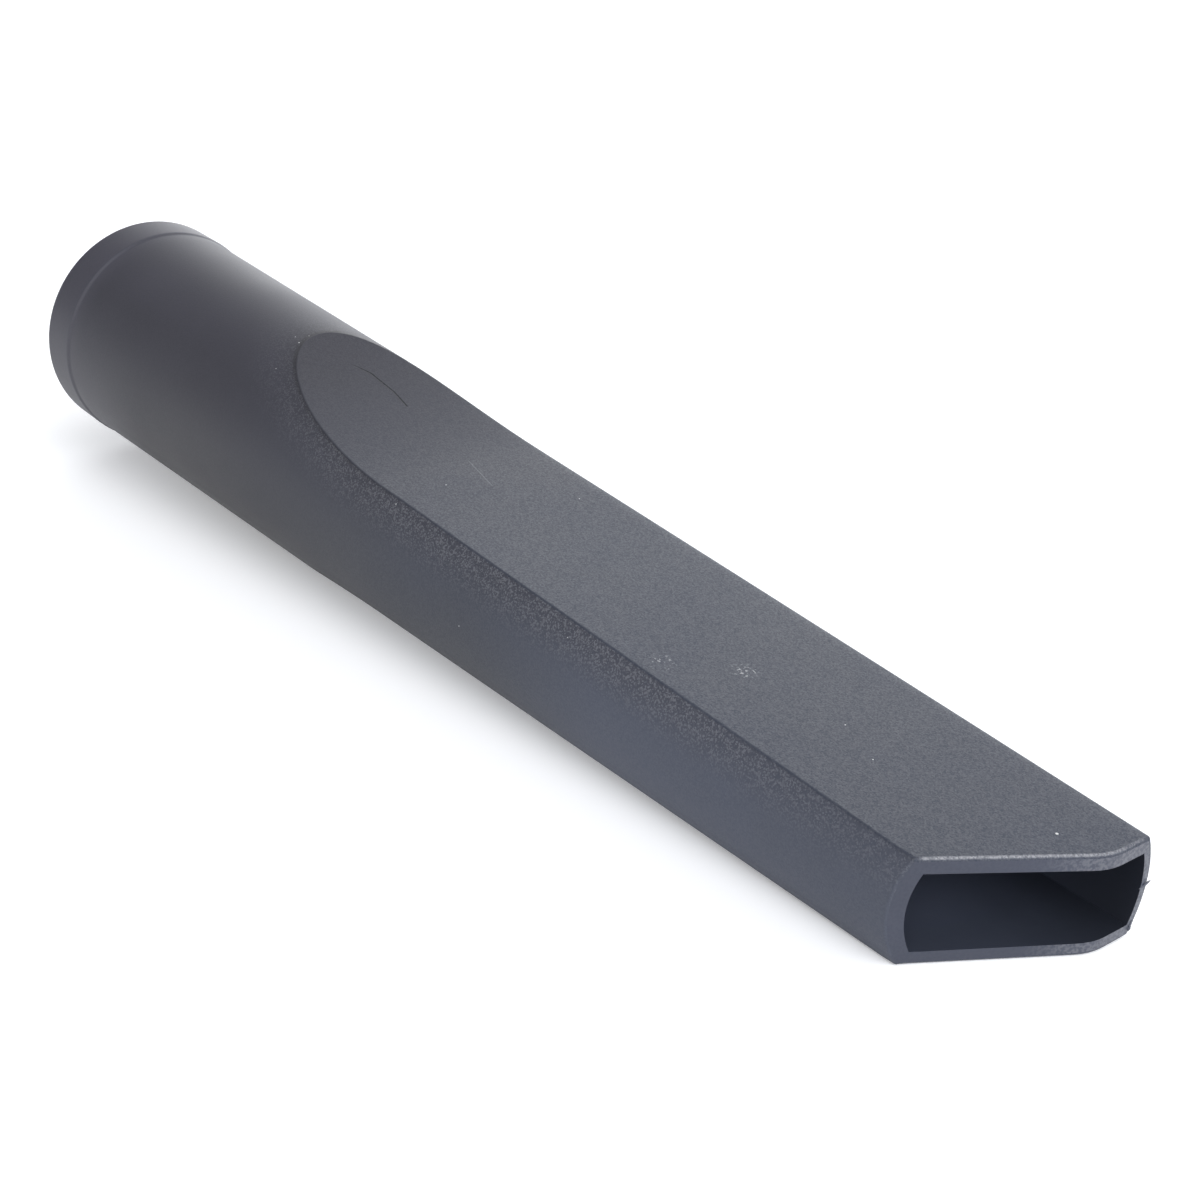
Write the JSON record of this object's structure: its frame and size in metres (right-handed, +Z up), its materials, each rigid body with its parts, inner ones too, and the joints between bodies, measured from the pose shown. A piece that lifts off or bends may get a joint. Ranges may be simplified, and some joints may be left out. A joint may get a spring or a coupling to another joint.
{
  "type": "vacuum crevice tool",
  "caption": "Moulded vacuum crevice tool: a round push-on socket with a collar, tapering through paired flats into a narrow flat duct with a slanted mouth.",
  "frame": {"origin": "under the middle of the outer box, on the surface that the tool lies on", "axes": "+X along the tool from the socket to the tip, +Z up. The tool lies on the heel of its lower flat and on both ends of its mouth, so its own axis slopes down to the tip by 4.1 degrees and it is rolled by 1.5 degrees towards the short side of the mouth, at -Y."},
  "size_m": [0.2218, 0.0398, 0.0428],
  "materials": {
    "charcoal_plastic": "fine matte spark-eroded grain outside, smooth inside"
  },
  "bodies": {
    "root": {"crevice_nozzle": "charcoal_plastic"}
  },
  "joints": []
}
